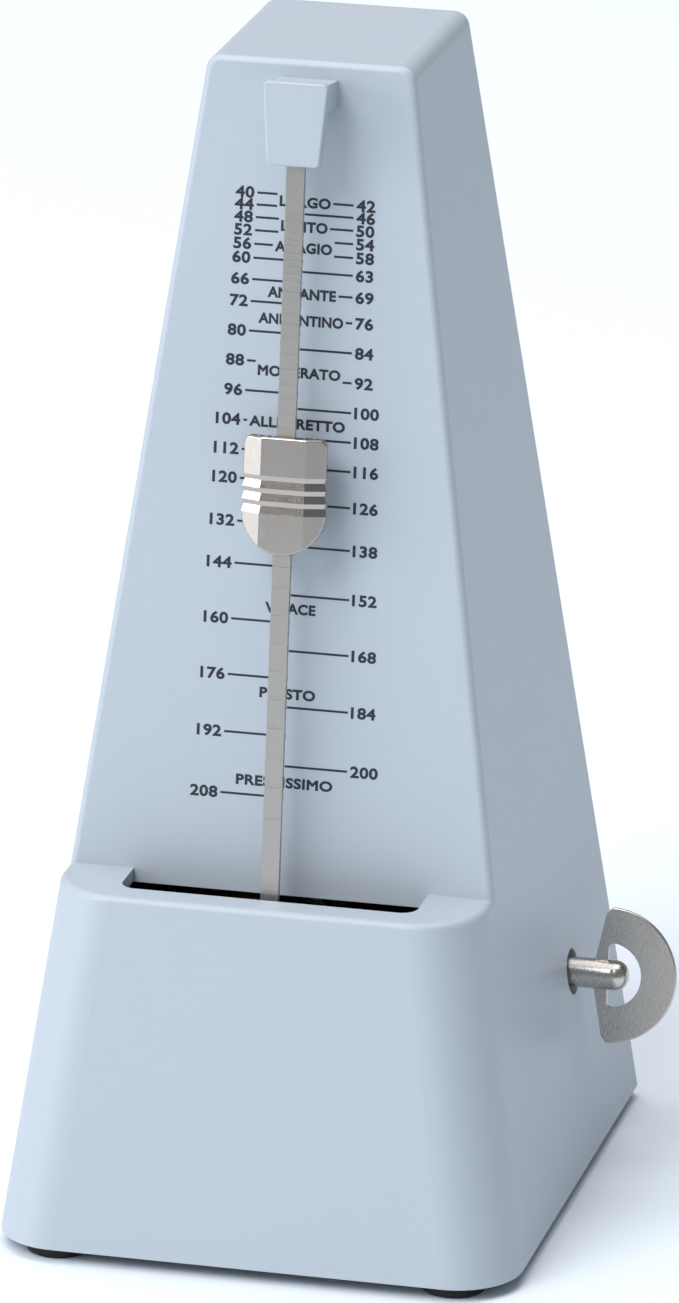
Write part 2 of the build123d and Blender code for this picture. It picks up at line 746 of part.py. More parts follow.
# ---- Winding arbor, ratchet and click ---------------------------------------------------
def winding_arbor():
    body = rod_x(key_y, key_axis_height, arbor_radius, -frame_outer, stem_start + stem_socket - socket_play)
    core_x0, core_x1 = barrel_start + barrel_wall + 0.4, barrel_start + barrel_width - barrel_wall - 0.4
    return body + rod_x(key_y, key_axis_height, core_radius, core_x0, core_x1)


def ratchet_wheel():
    points = []
    for index in range(ratchet_teeth):
        start = 2 * pi * index / ratchet_teeth - pi / 2
        for radius, share in ((ratchet_radius, 0.0), (ratchet_radius - ratchet_depth, 0.02)):
            angle = start + 2 * pi * share / ratchet_teeth
            points.append((key_y + radius * cos(angle), key_axis_height + radius * sin(angle)))
    return (plate_x(outline(points), ratchet_x0, ratchet_x1)
            - rod_x(key_y, key_axis_height, arbor_radius, ratchet_x0 - 1, ratchet_x1 + 1))


def click_place():
    return key_y + click_offset, key_axis_height - click_offset


def click_spring_place():
    return key_y + 12.0, key_axis_height + 4.0


def click():
    """Pawl with its nose just under the ratchet's tooth tips and a tail that its spring presses down."""
    y, z = click_place()
    nose_y, nose_z = key_y, key_axis_height - ratchet_radius - click_gap
    body = rod_x(y, z, click_boss_radius, ratchet_x0, ratchet_x1)
    body += plate_x(outline([(nose_y, nose_z), (nose_y + 0.9, nose_z - 0.9), (y - 0.5, z - 2.1),
                             (y + click_tail, z - 0.6), (y + click_tail, z + 0.9), (y - 1.2, z + 1.2)]),
                    ratchet_x0, ratchet_x1)
    return body - rod_x(y, z, click_pin_radius + running_gap, ratchet_x0 - 1, ratchet_x1 + 1)


def click_screw():
    y, z = click_place()
    body = rod_x(y, z, click_pin_radius, frame_half_gap, ratchet_x1 + 0.1)
    return body + rod_x(y, z, click_head_radius, ratchet_x1 + 0.1, ratchet_x1 + 1.1)


def click_spring():
    """Bent wire under a screw, its free end just above the click's tail."""
    y, z = click_spring_place()
    tail_y, tail_z = click_place()
    middle_x = (ratchet_x0 + ratchet_x1) / 2
    path = Polyline([(middle_x, y, z), (middle_x, y + 3, z - 5),
                     (middle_x, tail_y + click_tail - 0.8, tail_z + 2.3)])
    section = Plane(origin=path @ 0, z_dir=path % 0) * Circle(click_wire_radius)
    wire = sweep(section, path=path, transition=Transition.ROUND)
    anchor = rod_x(y, z, click_pin_radius, frame_half_gap, ratchet_x0)
    return anchor + rod_x(y, z, 2.0, ratchet_x0 - 0.4, ratchet_x1) + wire


# ---- Key --------------------------------------------------------------------------------
def key_turned(shape):
    """Turn a piece drawn about the X axis to the blade's place on the winding axis."""
    return Pos(0, key_y, key_axis_height) * Rot(-blade_tilt, 0, 0) * shape


def blade_outline():
    """D outline in (x, z): a bar that narrows to its middle and a round outer edge."""
    corner_x = blade_middle_x
    arc = ThreePointArc((corner_x, -blade_radius), (blade_middle_x + blade_radius, 0),
                        (corner_x, blade_radius))
    back = Polyline([(corner_x, blade_radius), (blade_middle_x - 1.0, blade_radius - blade_shoulder),
                     (blade_back_x, blade_bar_waist), (blade_back_x, -blade_bar_waist),
                     (blade_middle_x - 1.0, -blade_radius + blade_shoulder), (corner_x, -blade_radius)])
    return make_face([arc, back])


def blade_hole():
    """D-shaped finger hole between the bar and the round edge."""
    x0, height = blade_window_x, blade_hole_radius
    start = x0 + 1.2
    arc = ThreePointArc((start, -height), (blade_middle_x + height, 0), (start, height))
    back = Polyline([(start, height), (x0, height), (x0, -height), (start, -height)])
    hole = make_face([arc, back])
    return fillet([corner for corner in hole.vertices() if corner.X < x0 + 0.01], 1.0)


def key_blade():
    sheet = Plane.XZ * (blade_outline() - blade_hole())
    body = extrude(sheet, amount=blade_thickness / 2, both=True)
    rim = [edge for edge in body.edges().filter_by(GeomType.CIRCLE) if edge.radius > blade_radius - 0.1]
    return key_turned(fillet(rim, blade_edge_radius))


def key_stem():
    """Round stem with a domed end, slit across for the blade and crimped on both sides of the slit."""
    body = rod_x(0, 0, stem_radius, stem_start, stem_tip_x)
    body = fillet(body.edges().group_by(Axis.X)[-1], stem_dome)
    half = blade_thickness / 2 + running_gap
    body -= block(blade_back_x - running_gap, blade_window_x + running_gap, -half, half,
                  -stem_radius - 1, stem_radius + 1)
    for side in (-1, 1):
        for level in (-crimp_spread, crimp_spread):
            dent = Pos(blade_window_x + 1.2, side * stem_radius, level) * Box(0.6, 1.2, 0.8)
            body -= dent
    return key_turned(body - rod_x(0, 0, arbor_radius, stem_start - 1, stem_start + stem_socket))


# ---- Pendulum ---------------------------------------------------------------------------
def pendulum_rod():
    top = up_face(case_height - rod_tip_drop)
    body = block(-rod_width / 2, rod_width / 2, -bob_outer + 2, top, -rod_thickness / 2, rod_thickness / 2)
    for beats in tempos:
        middle = up_face(tempo_height(beats)) - notch_drop
        body -= block(-rod_width, rod_width, middle - notch_width / 2, middle + notch_width / 2,
                      rod_thickness / 2 - notch_depth, rod_thickness)
    body -= rod_z(0, 0, pendulum_arbor_radius, -rod_thickness, rod_thickness)
    body -= rod_z(0, -(bob_inner + bob_outer) / 2, bob_pin_radius, -rod_thickness, rod_thickness)
    return swing.location * (body - rivet_holes())


def pendulum_arbor():
    back = -rear_bearing_setback - rear_cock_thickness - 1
    return swing.location * rod_z(0, 0, pendulum_arbor_radius, back, rod_thickness / 2 + 0.8)


def pendulum_hub():
    body = rod_z(0, 0, hub_radius, -rod_thickness / 2 - hub_length, -rod_thickness / 2)
    return swing.location * (body - rod_z(0, 0, pendulum_arbor_radius, -hub_length - 2, 0)
                             - rivet_holes())


def rivet_holes():
    return [rod_z(0, side * rivet_spacing, rivet_radius, -rod_thickness / 2 - hub_length - 1, rod_thickness)
            for side in (-1, 1)]


def counterweight():
    """Cast sector at the rod's lower end, slotted for the rod."""
    outer = Circle(bob_outer) - Circle(bob_inner)
    reach = 2 * bob_outer
    side = reach * tan(radians(bob_half_angle))
    wedge = outline([(0, 0), (-side, -reach), (side, -reach)])
    body = extrude(outer & wedge, amount=bob_thickness / 2, both=True)
    body = fillet(body.edges().filter_by(Axis.Z), bob_corner_radius)
    half = rod_width / 2 + running_gap
    thick = rod_thickness / 2 + running_gap
    body -= block(-half, half, -bob_outer + 1.9, -bob_inner + 5, -thick, thick)
    pin = rod_z(0, -(bob_inner + bob_outer) / 2, bob_pin_radius, -bob_thickness, bob_thickness)
    return swing.location * (body - pin)


def counterweight_pin():
    half = bob_thickness / 2
    return swing.location * rod_z(0, -(bob_inner + bob_outer) / 2, bob_pin_radius - rivet_gap, -half, half)


# ---- Sliding weight ---------------------------------------------------------------------
weight_top = up_face(weight_top_height)
weight_foot = weight_top - weight_length
weight_edge_front = weight_front - weight_bevel
weight_shield_back = weight_edge_front - weight_rim


def weight_shield():
    """Front outline: flat top with small corners, straight sides and a round foot."""
    half = weight_width / 2
    start = weight_foot + half
    arc = ThreePointArc((-half, start), (0, weight_foot), (half, start))
    top = half - weight_taper
    sides = Polyline([(half, start), (top, weight_top), (-top, weight_top), (-half, start)])
    face = make_face([arc, sides])
    return fillet([v for v in face.vertices() if v.Y > weight_top - 0.01], weight_corner)


def weight_section(level, inset):
    """Section of the shield at a height, its front and sides moved in by inset."""
    straight = weight_length - weight_width / 2
    half = weight_width / 2 - weight_taper * (level - weight_foot - weight_width / 2) / straight - inset
    flat, edge = weight_width / 2 * weight_flat_share - inset / 2, weight_edge_front - inset
    front, back = weight_front - inset, weight_shield_back
    return Plane.XZ.offset(-level) * outline([(-half, back), (-half, edge), (-flat, front),
                                              (flat, front), (half, edge), (half, back)])


def faceted_shield():
    """Front shield: a flat middle between two sloping facets, with a soft front rim."""
    body = extrude(Plane.XY.offset(weight_shield_back) * weight_shield(),
                   amount=weight_front - weight_shield_back)
    half = weight_width / 2
    flat = half * weight_flat_share
    past = weight_edge_front - weight_bevel / (half - flat)
    for side in (-1, 1):
        bevel = outline([(side * flat, weight_front), (side * (half + 1), past),
                         (side * (half + 1), weight_front + 1), (side * flat, weight_front + 1)])
        body -= extrude(Plane.XZ.offset(-weight_top - 1) * bevel, amount=weight_length + 2)
    rim = [edge for edge in body.edges() if edge.center().Z > weight_edge_front - weight_edge_radius
           and (edge.length < weight_length / 2 or abs(abs(edge.center().X) - flat) > weight_edge_radius)]
    return fillet(rim, weight_edge_radius)


def groove_levels():
    """Foot, deepest line and top of each groove; the slope that faces down is the steep one."""
    middle = (weight_top + weight_foot) / 2 + groove_rise
    for index in range(groove_count):
        foot = middle + (index - groove_count / 2) * groove_pitch
        yield foot, foot + groove_pitch * (1 - groove_steep_share), foot + groove_pitch


def tempo_weight():
    """Thin faceted shield with three grooves around it, on a narrower body for the rod and its spring."""
    body = faceted_shield()
    for foot, deep, top in groove_levels():
        body -= block(-weight_width, weight_width, foot, top, weight_shield_back - 1, weight_front + 1)
        body += loft([weight_section(foot, 0), weight_section(deep, groove_depth)], ruled=True)
        body += loft([weight_section(deep, groove_depth), weight_section(top, 0)], ruled=True)
    carrier = Plane.XY.offset(-weight_back) * offset(weight_shield(), -weight_back_inset)
    body += extrude(carrier, amount=weight_back + weight_shield_back + slide_gap)
    rod_half = rod_width / 2 + slide_gap
    body -= block(-rod_half, rod_half, weight_foot - 1, weight_top + 1, -rod_thickness / 2 - slide_gap,
                  rod_thickness / 2 + slide_gap)
    return swing.location * (body - weight_pocket(0))


def weight_pocket(gap):
    """Room behind the rod for the friction spring and its cover."""
    half = pocket_half_width - gap
    return block(-half, half, weight_foot + pocket_foot + gap, weight_top - pocket_top - gap,
                 -weight_back - 1, -rod_thickness / 2 - slide_gap)


def weight_cover():
    body = weight_pocket(cover_gap) & block(-weight_width, weight_width, weight_foot, weight_top,
                                            -weight_back, -weight_back + cover_thickness)
    return swing.location * body


def weight_spring():
    """Bowed leaf between the cover and the rod."""
    low, high = weight_foot + pocket_foot + 1, weight_top - pocket_top - 1
    back = -weight_back + cover_thickness
    front = -rod_thickness / 2 - slide_gap
    arc = ThreePointArc((low, back), ((low + high) / 2, front - slider_spring_strip), (high, back))
    outer = ThreePointArc((low, back + slider_spring_strip), ((low + high) / 2, front),
                          (high, back + slider_spring_strip))
    face = make_face([arc, outer, Line(arc @ 0, outer @ 0), Line(arc @ 1, outer @ 1)])
    return swing.location * extrude(Plane.YZ * face, amount=slider_spring_width / 2, both=True)


# ---- Nodes ------------------------------------------------------------------------------
def hub_rivets():
    back, radius = -rod_thickness / 2 - hub_length, rivet_radius - rivet_gap
    return [swing.location * rod_z(0, side * rivet_spacing, radius, back, rod_thickness / 2)
            for side in (-1, 1)]


def nodes():
    made = {
        "case_shell": case_shell(), "pendulum_catch": pendulum_catch(), "base_plate": base_plate(),
        "base_screws": base_screws(), "left_frame_plate": left_plate(), "right_frame_plate": right_plate(),
        "frame_pillars": frame_pillars(), "pillar_screws": pillar_screws(), "flange_screws": flange_screws(),
        "pendulum_bridge": pendulum_bridge(), "front_bush": front_bush(), "rear_cock": rear_cock(),
        "rear_bush": rear_bush(), "escape_cock": escape_cock(), "cock_posts": cock_posts(),
        "escape_arbor": escape_arbor(), "escape_pinion": escape_pinion(), "escape_wheel": escape_wheel(),
        "intermediate_arbor": intermediate_arbor(), "intermediate_pinion": intermediate_pinion(),
        "intermediate_wheel": intermediate_wheel(), "great_wheel": great_wheel(),
        "barrel_drum": barrel_drum(),
        "barrel_cover": barrel_cover(), "mainspring": mainspring(), "winding_arbor": winding_arbor(),
        "ratchet_wheel": ratchet_wheel(), "click": click(), "click_screw": click_screw(),
        "click_spring": click_spring(), "key_stem": key_stem(), "key_blade": key_blade(),
        "pendulum_rod": pendulum_rod(), "pendulum_arbor": pendulum_arbor(), "pendulum_hub": pendulum_hub(),
        "hub_rivets": hub_rivets(),
        "front_pallet": pallet(escape_setback - crown_radius + crown_wall / 2, pallet_turn),
        "rear_pallet": pallet(escape_setback + crown_radius - crown_wall / 2, -pallet_turn),
        "counterweight": counterweight(), "counterweight_pin": counterweight_pin(),
        "tempo_weight": tempo_weight(), "weight_cover": weight_cover(), "weight_spring": weight_spring(),
    }
    for name, (x, y) in foot_places().items():
        made[name] = foot(x, y)
    return made


def main():
    os.makedirs("parts", exist_ok=True)
    shift = Pos(-key_reach / 2, 0, 0)
    for name, made in nodes().items():
        solids = made if isinstance(made, list) else [made]
        placed = [shift * solid for solid in solids]
        shape = Compound(children=placed) if len(placed) > 1 else placed[0]
        export_step(shape, f"parts/{name}.step")


main()
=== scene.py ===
"""Looks of a wind-up pyramid metronome, laid out as an add-on around the fixed CAD frame."""
import json
import math
from collections import namedtuple

import bmesh
import bpy
from bpy.props import FloatProperty, FloatVectorProperty, PointerProperty
from mathutils import Matrix, Vector


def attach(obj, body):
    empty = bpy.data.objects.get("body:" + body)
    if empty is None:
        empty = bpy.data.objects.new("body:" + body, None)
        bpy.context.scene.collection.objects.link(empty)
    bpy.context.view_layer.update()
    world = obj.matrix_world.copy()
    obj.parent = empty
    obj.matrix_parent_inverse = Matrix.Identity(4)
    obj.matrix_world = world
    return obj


bl_info = {
    "name": "Pyramid metronome",
    "version": (1, 0, 0),
    "blender": (4, 5, 0),
    "location": "3D View > Sidebar > Metronome",
    "description": "Finishes, printed scale, sliding weight and studio of a wind-up metronome",
    "category": "Object",
}

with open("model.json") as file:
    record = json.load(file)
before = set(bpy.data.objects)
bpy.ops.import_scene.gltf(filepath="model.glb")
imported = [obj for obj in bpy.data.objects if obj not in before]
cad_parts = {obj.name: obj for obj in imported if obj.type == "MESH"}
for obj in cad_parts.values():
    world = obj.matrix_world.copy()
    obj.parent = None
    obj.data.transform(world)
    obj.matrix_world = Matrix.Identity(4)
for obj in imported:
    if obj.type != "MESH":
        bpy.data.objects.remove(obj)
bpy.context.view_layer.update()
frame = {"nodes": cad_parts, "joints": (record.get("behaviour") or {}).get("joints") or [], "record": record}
NODES = frame["nodes"]
JOINTS = {joint["name"]: joint for joint in frame["joints"]}
MM = 0.001


# ---- Places taken from the frame --------------------------------------------------------
def swing_frame():
    """Matrix of the pendulum's plane: X across, Y up the rod, Z out of the scale face."""
    outward = Vector(JOINTS["pendulum_swing"]["axis"])
    upward = Vector(JOINTS["weight_slide"]["axis"])
    across = upward.cross(outward)
    matrix = Matrix((across, upward, outward)).transposed().to_4x4()
    matrix.translation = Vector(JOINTS["pendulum_swing"]["pos_m"])
    return matrix


SWING = swing_frame()
ROD_STANDOFF = 7.4 * MM         # from the scale face out to the middle of the rod


# ---- Colour -----------------------------------------------------------------------------
def linear(code):
    """sRGB hex colour as the linear red, green and blue that the shaders use."""
    parts = [int(code[index:index + 2], 16) / 255 for index in (1, 3, 5)]
    return [c / 12.92 if c <= 0.04045 else ((c + 0.055) / 1.055) ** 2.4 for c in parts]


def colour_property(name, code, description):
    return FloatVectorProperty(name=name, description=description, subtype="COLOR", size=3,
                               min=0.0, max=1.0, default=linear(code))


def length_property(name, millimetres, description):
    return FloatProperty(name=name, description=description, unit="LENGTH", min=0.0,
                         default=millimetres * MM)


class MetronomeColours(bpy.types.PropertyGroup):
    """Colours a user would change."""
    case: colour_property("Case", "#B0BAC5", "Light blue ABS of the case and catch")
    ink: colour_property("Ink", "#1D2433", "Dark ink of the scale")
    nickel: colour_property("Weight nickel", "#B6AFA8", "Nickel plating of the sliding weight")
    key: colour_property("Key nickel", "#C6C0BA", "Nickel plating of the winding key")
    steel: colour_property("Rod steel", "#BDB9B4", "Rolled steel of the pendulum rod")
    rubber: colour_property("Rubber", "#141416", "Rubber of the feet")
    floor: colour_property("Floor", "#E8F0F9", "Studio floor")


class MetronomeSizes(bpy.types.PropertyGroup):
    """Sizes a user would change."""
    digit_height: length_property("Digit height", 1.95, "Height of the tempo numbers")
    stroke_gain: length_property("Stroke gain", 0.11, "How much the letters' strokes are thickened")
    word_height: length_property("Word height", 1.76, "Height of the tempo words")
    tick_width: length_property("Tick width", 0.4, "Thickness of the scale's lines")
    ink_film: length_property("Ink film", 0.02, "How far the print stands proud of the face")
    number_gap: length_property("Number gap", 0.65, "Space between a line and its number")
    digit_stretch: FloatProperty(name="Digit stretch", description="How much wider numbers are drawn",
                                 unit="NONE", subtype="FACTOR", min=0.5, default=1.18)


def colours():
    return bpy.context.scene.metronome_colours


def sizes():
    return bpy.context.scene.metronome_sizes


# ---- Materials --------------------------------------------------------------------------
Pattern = namedtuple("Pattern", "size stretch detail")    # size of the grain in metres
EVEN = (1, 1, 1)
MIX_FROM, MIX_TO, MIX_RESULT = 6, 7, 2      # the colour sockets of a mix node share their names
NOISE_LOW, NOISE_HIGH = 0.3, 0.7            # where nearly all values of the noise lie


def add_node(tree, kind, sockets=None, **settings):
    """Add a node: settings are its own options, sockets are values or links by input name."""
    node = tree.nodes.new(kind)
    for option, value in settings.items():
        setattr(node, option, value)
    for name, value in (sockets or {}).items():
        if isinstance(value, bpy.types.NodeSocket):
            tree.links.new(value, node.inputs[name])
        else:
            node.inputs[name].default_value = value
    return node


def draw_pattern(tree, pattern):
    """Noise with the pattern's grain, drawn in the object's own frame."""
    place = add_node(tree, "ShaderNodeTexCoord")
    spacing = [1 / (pattern.size * share) for share in pattern.stretch]
    scale = add_node(tree, "ShaderNodeMapping", {"Vector": place.outputs["Object"], "Scale": spacing})
    noise = add_node(tree, "ShaderNodeTexNoise", {"Vector": scale.outputs["Vector"], "Scale": 1.0,
                                                  "Detail": pattern.detail, "Roughness": 0.55})
    return noise.outputs["Fac"]


def surface(name, colour, tone, darker, gloss, roughness, relief=None, bump=None, **shader):
    """Surface whose colour darkens with the tone pattern and whose roughness runs over a range with
    the gloss pattern. The relief pattern is felt through a bump of a strength and a height."""
    made = bpy.data.materials.new(name)
    made.use_nodes = True
    tree = made.node_tree
    tree.nodes.clear()
    drawn = {pattern: draw_pattern(tree, pattern) for pattern in (tone, gloss, relief) if pattern}
    tint = add_node(tree, "ShaderNodeMix", {"Factor": drawn[tone]}, data_type="RGBA")
    tint.inputs[MIX_FROM].default_value = (*colour, 1)
    tint.inputs[MIX_TO].default_value = (*[c * darker for c in colour], 1)
    sockets = {"Base Color": tint.outputs[MIX_RESULT], "Roughness": roughness, **shader}
    if gloss:
        low, high = roughness
        sockets["Roughness"] = add_node(tree, "ShaderNodeMapRange", {
            "Value": drawn[gloss], "From Min": NOISE_LOW, "From Max": NOISE_HIGH,
            "To Min": low, "To Max": high}).outputs["Result"]
    if relief:
        strength, height = bump
        sockets["Normal"] = add_node(tree, "ShaderNodeBump", {
            "Strength": strength, "Distance": height, "Height": drawn[relief]}).outputs["Normal"]
    shading = add_node(tree, "ShaderNodeBsdfPrincipled", sockets)
    add_node(tree, "ShaderNodeOutputMaterial", {"Surface": shading.outputs["BSDF"]})
    return made


def moulded_abs(name, colour, roughness=0.42):
    """ABS from a spark-eroded mould: a fine, even satin with a soft highlight and faint flow tone."""
    flow = Pattern(35 * MM, EVEN, 2.0)
    grain = Pattern(0.45 * MM, EVEN, 2.0)       # real grain is near 0.1 mm, drawn coarser to show
    return surface(name, colour, flow, 0.985, grain, (roughness - 0.04, roughness + 0.05),
                   grain, (0.05, 0.05 * MM), IOR=1.53)


def plated_nickel(name, colour, roughness, stretch):
    """Nickel over polished metal: mirror-like but softened, with hairlines along the polishing."""
    cloud = Pattern(4 * MM, EVEN, 2.0)
    hair = Pattern(0.25 * MM, stretch, 3.0)     # real hairlines are finer, drawn coarser to show
    return surface(name, colour, cloud, 0.94, hair, (roughness - 0.05, roughness + 0.06),
                   hair, (0.06, 0.02 * MM), Metallic=1.0)


def rolled_steel(name, colour, roughness=0.34):
    """Cold rolled strip: grey steel with fine lines along its length."""
    lines = Pattern(0.2 * MM, (1, 1, 40), 4.0)
    return surface(name, colour, lines, 0.86, lines, (roughness - 0.06, roughness + 0.08),
                   lines, (0.12, 0.02 * MM), Metallic=1.0)


def machined_metal(name, colour, roughness, darker=0.8):
    """Stamped or turned metal inside the case: even, slightly dull, with faint tool marks."""
    marks = Pattern(0.5 * MM, (1, 8, 1), 3.0)
    return surface(name, colour, marks, darker, marks, (roughness - 0.05, roughness + 0.1),
                   marks, (0.1, 0.03 * MM), Metallic=1.0)


def moulded_rubber(name, colour):
    """Moulded rubber: matt and nearly black, with a dusty bloom."""
    bloom = Pattern(2 * MM, EVEN, 3.0)
    grain = Pattern(0.3 * MM, EVEN, 2.0)
    return surface(name, colour, bloom, 0.7, bloom, (0.68, 0.85), grain, (0.25, 0.05 * MM), IOR=1.52)


def screen_ink(name, colour):
    """Screen-printed ink: dense, flat and a little uneven in gloss."""
    film = Pattern(0.6 * MM, EVEN, 2.0)
    return surface(name, colour, film, 0.85, film, (0.45, 0.6), IOR=1.5)


def painted_board(name, colour):
    """Matt painted studio floor with a barely visible roller texture."""
    roller = Pattern(6 * MM, EVEN, 3.0)
    return surface(name, colour, roller, 0.995, None, 0.8, roller, (0.03, 0.2 * MM), IOR=1.45)


def wear(names, finish):
    """Give CAD nodes a finish."""
    for name in names:
        data = NODES[name].data
        data.materials.clear()
        data.materials.append(finish)


# ---- Mesh helpers -----------------------------------------------------------------------
def object_from(name, mesh_builder, finish, body):
    """New mesh object in the row frame that rides on a body and takes a slot's finish."""
    mesh = bpy.data.meshes.new(name)
    mesh_builder.to_mesh(mesh)
    mesh_builder.free()
    made = bpy.data.objects.new(name, mesh)
    bpy.context.scene.collection.objects.link(made)
    mesh.materials.append(finish)
    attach(made, body)
    return made


def add_box(builder, low, high, matrix=Matrix.Identity(4)):
    """Adds a closed box between two corners to a bmesh."""
    size = Vector(high) - Vector(low)
    centre = (Vector(high) + Vector(low)) / 2
    place = matrix @ Matrix.Translation(centre) @ Matrix.Diagonal((*size, 1))
    bmesh.ops.create_cube(builder, size=1.0, matrix=place)


def embolden(flat, amount):
    """Moves the outline of flat letters outwards, so that their strokes get thicker."""
    outward = {}
    for edge in flat.edges:
        if edge.is_boundary:
            along = (edge.verts[1].co - edge.verts[0].co).normalized()
            normal = along.cross(Vector((0, 0, 1)))
            if normal.dot(edge.link_faces[0].calc_center_median() - edge.verts[0].co) > 0:
                normal = -normal
            for vert in edge.verts:
                outward.setdefault(vert, []).append(normal)
    for vert, normals in outward.items():
        middle = sum(normals, Vector()).normalized()
        vert.co += middle * amount / max(middle.dot(normals[0]), MITRE_LIMIT)


def text_mesh(text, height, stretch):
    """Letters as a flat mesh of the given cap height, with its width; origin at its lower left."""
    curve = bpy.data.curves.new("letters", "FONT")
    curve.body = text
    curve.size = 1.0
    curve.resolution_u = LETTER_CURVE_STEPS
    curve.space_character = LETTER_SPACING
    holder = bpy.data.objects.new("letters", curve)
    mesh = bpy.data.meshes.new_from_object(holder)
    bpy.data.objects.remove(holder)
    xs = [v.co.x for v in mesh.vertices]
    ys = [v.co.y for v in mesh.vertices]
    scale = height / (max(ys) - min(ys))
    wide = scale * stretch
    to_corner = Matrix.Translation((-min(xs), -min(ys), 0))
    mesh.transform(Matrix.Diagonal((wide, scale, scale, 1)) @ to_corner)
    return mesh, (max(xs) - min(xs)) * wide


# ---- Scale print ------------------------------------------------------------------------
TEMPOS = (list(range(40, 60, 2)) + list(range(60, 72, 3)) + list(range(72, 120, 4))
          + list(range(120, 144, 6)) + list(range(144, 209, 8)))
# each word with the rate it stands at and how much wider than the built-in font it is drawn
WORDS = {"LARGO": (42.2, 1.1), "LENTO": (50.0, 1.04), "ADAGIO": (56.2, 1.02), "ANDANTE": (69.1, 0.98),
         "ANDANTINO": (76.3, 0.97), "MODERATO": (90.3, 1.06), "ALLEGRETTO": (104.1, 1.11),
         "ALLEGRO": (124.0, 1.0), "VIVACE": (155.9, 1.05), "PRESTO": (180.3, 1.14),
         "PRESTISSIMO": (204.3, 1.2)}
BALANCE_RADIUS = 147.5 * MM     # weight's distance from the pivot at which the pendulum would stop
INERTIA_TERM = 10464.0 * MM**2  # the rest of the pendulum's inertia, for each unit of the weight's mass
RATE_TERM = 3.98e6 * MM         # gravity's share, for rates in beats a minute
TICK_START = 8.85 * MM          # a line's outer end at the top of the scale
TICK_FLARE = 0.0268             # how much further out the ends go for each unit down the scale
LETTER_SPACING = 1.06
LETTER_CURVE_STEPS = 4
MITRE_LIMIT = 0.5               # keeps a letter's sharp corners from growing long points
WELD = 1e-7                     # letter vertices closer than this are one
WORD_GAP = 0.55 * MM            # from a word to the line beside it
WORD_CLEARANCE = 1.9 * MM       # a line this close to a word stops beside it


def tempo_radius(beats):
    """Distance from the pivot at which the pendulum beats at this rate."""
    square = beats**2
    root = math.sqrt(RATE_TERM**2 - 4 * square * (square * INERTIA_TERM - RATE_TERM * BALANCE_RADIUS))
    return (root - RATE_TERM) / (2 * square)


class METRONOME_OT_scale(bpy.types.Operator):
    """Print the tempo scale on the case's face"""
    bl_idname = "metronome.scale"
    bl_label = "Scale print"

    def execute(self, context):
        ink = screen_ink("screen_printed_ink", colours().ink)
        self.words = {word: tempo_radius(beats) for word, (beats, _) in WORDS.items()}
        lines, numbers, words = bmesh.new(), bmesh.new(), bmesh.new()
        half_widths = {word: self.write(words, word, 0, radius, 0.5, sizes().word_height,
                                        WORDS[word][1]) / 2 for word, radius in self.words.items()}
        top = tempo_radius(TEMPOS[0])
        for index, beats in enumerate(TEMPOS):
            side = self.side(index)
            radius = tempo_radius(beats)
            outer = TICK_START + (top - radius) * TICK_FLARE
            inner = self.line_start(radius, half_widths)
            self.tick(lines, side, inner, outer, radius)
            anchor = 0.0 if side > 0 else 1.0
            place = side * (outer + sizes().number_gap)
            self.write(numbers, str(beats), place, radius, anchor, sizes().digit_height,
                       sizes().digit_stretch)
        print_pieces = {"scale_lines": lines, "scale_numbers": numbers, "scale_words": words}
        for name, builder in print_pieces.items():
            object_from(name, builder, ink, "case")
        return {"FINISHED"}

    def side(self, index):
        """Marks alternate from left to right, starting on the left."""
        return -1 if index % 2 == 0 else 1

    def line_start(self, radius, half_widths):
        """Lines reach the middle unless a word stands in the way."""
        near = [half_widths[word] + WORD_GAP for word, place in self.words.items()
                if abs(place - radius) < WORD_CLEARANCE]
        return max(near) if near else 0.0

    def tick(self, builder, side, inner, outer, radius):
        half = sizes().tick_width / 2
        x0, x1 = sorted((side * inner, side * outer))
        add_box(builder, (x0, radius - half, -ROD_STANDOFF - sizes().ink_film),
                (x1, radius + half, -ROD_STANDOFF + sizes().ink_film), SWING)

    def write(self, builder, text, x, radius, anchor, height, stretch):
        """Adds raised letters whose anchor share of width stands at x. Returns the width."""
        mesh, width = text_mesh(text, height, stretch)
        place = SWING @ Matrix.Translation((x - anchor * width, radius - height / 2, -ROD_STANDOFF))
        flat = bmesh.new()
        flat.from_mesh(mesh)
        bpy.data.meshes.remove(mesh)
        film = sizes().ink_film
        for vert in flat.verts:
            vert.co.z = -film
        bmesh.ops.remove_doubles(flat, verts=flat.verts, dist=WELD)
        embolden(flat, sizes().stroke_gain)
        raised = bmesh.ops.extrude_face_region(flat, geom=flat.faces[:])
        for item in raised["geom"]:
            if isinstance(item, bmesh.types.BMVert):
                item.co.z = film
        bmesh.ops.recalc_face_normals(flat, faces=flat.faces)
        bmesh.ops.transform(flat, matrix=place, verts=flat.verts)
        joined = bpy.data.meshes.new("joined")
        flat.to_mesh(joined)
        flat.free()
        builder.from_mesh(joined)
        bpy.data.meshes.remove(joined)
        return width


# ---- Case, pendulum, key, movement ------------------------------------------------------
class METRONOME_OT_case(bpy.types.Operator):
    """Give the case, catch and base their moulded plastic"""
    bl_idname = "metronome.case"
    bl_label = "Case finish"

    def execute(self, context):
        wear(["case_shell", "pendulum_catch"], moulded_abs("satin_moulded_abs", colours().case))
        wear(["base_plate"], moulded_abs("black_moulded_abs", linear("#1B1B1D"), 0.5))
        feet = [name for name in NODES if name.startswith("foot_")]
        wear(feet, moulded_rubber("moulded_rubber", colours().rubber))
        return {"FINISHED"}


